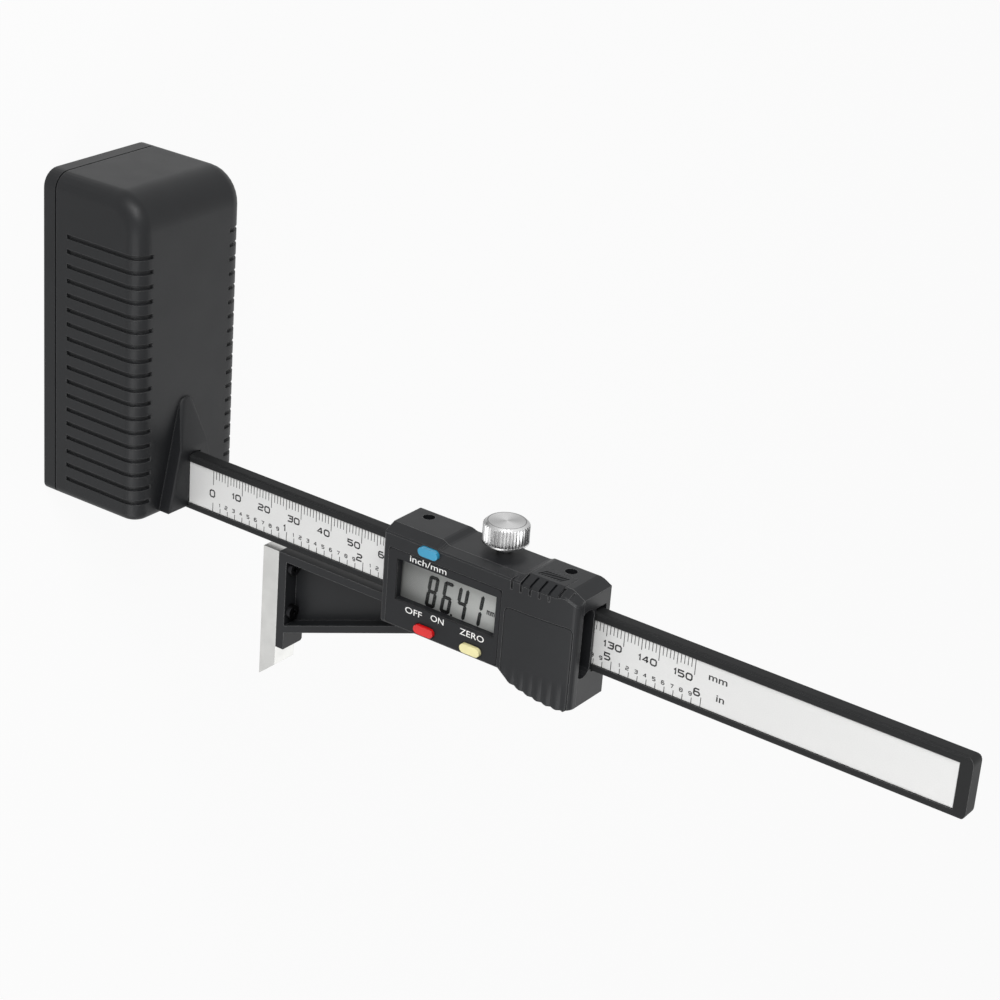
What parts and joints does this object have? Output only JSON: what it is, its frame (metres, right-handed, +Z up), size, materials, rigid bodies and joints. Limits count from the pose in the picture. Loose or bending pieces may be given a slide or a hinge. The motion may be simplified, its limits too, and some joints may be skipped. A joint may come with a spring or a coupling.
{
  "type": "digital height gauge",
  "caption": "Digital height gauge: a ribbed grip base, an upright beam with a printed scale, and a sliding display head with an arm and an angled steel blade.",
  "frame": {"origin": "on the foot face, below the beam's mid-plane and the middle of the base's length", "axes": "+Z up along the beam, +X along the base towards the blade, the display faces -Y"},
  "size_m": [0.1283, 0.0398, 0.2682],
  "materials": {
    "housing_abs": "moulded, fine grain",
    "plate_abs": "moulded, satin",
    "beam_plastic": "moulded, satin",
    "frame_plastic": "moulded, satin",
    "cover_plastic": "moulded, satin",
    "door_plastic": "moulded, satin",
    "fascia_film": "printed film",
    "label_film": "printed film",
    "board_green": "solder mask",
    "zebra_rubber": "smooth",
    "blade_steel": "ground",
    "knob_steel": "knurled and spun",
    "screw_steel": "zinc plated",
    "magnet_nickel": "nickel plated",
    "dome_steel": "pressed",
    "cell_steel": "drawn can",
    "gib_brass": "rolled",
    "contact_brass": "gilt",
    "window_clear": "clear",
    "display_glass": "reflective film behind glass",
    "button_blue": "moulded",
    "button_red": "moulded",
    "button_cream": "moulded"
  },
  "bodies": {
    "stand": {"base_housing": "housing_abs", "base_plate": "plate_abs", "base_magnets": "magnet_nickel", "base_screws": "screw_steel", "beam": "beam_plastic", "beam_screws": "screw_steel", "stator_strip": "board_green", "scale_label": "label_film"},
    "slider": {"slider_frame": "frame_plastic", "gib_strip": "gib_brass", "gib_screws": "screw_steel", "slider_cover": "cover_plastic", "fascia": "fascia_film", "lcd_window": "window_clear", "lcd_panel": "display_glass", "zebra_strips": "zebra_rubber", "circuit_board": "board_green", "button_domes": "dome_steel", "battery": "cell_steel", "contact_plus": "contact_brass", "contact_minus": "contact_brass", "cover_screws": "screw_steel", "blade": "blade_steel", "blade_screws": "screw_steel"},
    "thrust_pad": {"lock_pad": "gib_brass"},
    "lock_knob": {"lock_screw": "knob_steel"},
    "unit_key": {"button_unit": "button_blue"},
    "power_key": {"button_power": "button_red"},
    "zero_key": {"button_zero": "button_cream"},
    "battery_lid": {"battery_door": "door_plastic"},
    "port_lid": {"port_cover": "door_plastic"}
  },
  "joints": [
    {"name": "slider_travel", "type": "slide", "parent": "stand", "child": "slider", "axis": [0, 0, 1], "range_m": [-0.0642, 0.0857]},
    {"name": "lock_advance", "type": "slide", "parent": "slider", "child": "thrust_pad", "axis": [-1, 0, 0], "range_m": [0, 0.0005]},
    {"name": "lock_turn", "type": "hinge", "parent": "thrust_pad", "child": "lock_knob", "pos_m": [0.02, 0, 0.1386], "axis": [-1, 0, 0], "range_deg": [0, 270]},
    {"name": "unit_press", "type": "slide", "parent": "slider", "child": "unit_key", "axis": [0, 1, 0], "range_m": [0, 0.0006], "stiffness_N_per_m": 800, "springref_m": -0.001},
    {"name": "power_press", "type": "slide", "parent": "slider", "child": "power_key", "axis": [0, 1, 0], "range_m": [0, 0.0006], "stiffness_N_per_m": 800, "springref_m": -0.001},
    {"name": "zero_press", "type": "slide", "parent": "slider", "child": "zero_key", "axis": [0, 1, 0], "range_m": [0, 0.0006], "stiffness_N_per_m": 800, "springref_m": -0.001},
    {"name": "battery_lid_slide", "type": "slide", "parent": "slider", "child": "battery_lid", "axis": [1, 0, 0], "range_m": [0, 0.024]},
    {"name": "port_lid_slide", "type": "slide", "parent": "slider", "child": "port_lid", "axis": [-1, 0, 0], "range_m": [0, 0.006]}
  ],
  "couplings": [
    {"joint": "lock_turn", "follows": "lock_advance", "rad_per_m": 8976}
  ]
}
